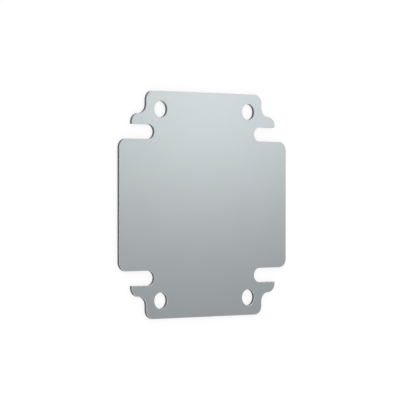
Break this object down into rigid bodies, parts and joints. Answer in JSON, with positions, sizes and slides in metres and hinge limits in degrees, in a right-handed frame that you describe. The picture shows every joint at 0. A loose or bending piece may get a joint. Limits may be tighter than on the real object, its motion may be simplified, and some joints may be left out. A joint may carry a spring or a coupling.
{
  "type": "mounting plate",
  "caption": "Flat steel mounting plate with stepped tabs at both ends, a round screw hole near each corner and open-ended slots in its long sides.",
  "frame": {"origin": "centre of the back face, which the plate lies on", "axes": "+Z out of the front face; +Y along the plate's height, from the lower tab to the upper tab; +X across its width, to the picture's right"},
  "size_m": [0.12, 0.125, 0.002],
  "materials": {
    "zinc_plated_steel": "smooth satin zinc plating on cold rolled sheet steel, cool grey"
  },
  "bodies": {
    "root": {"mounting_plate": "zinc_plated_steel"}
  },
  "joints": []
}
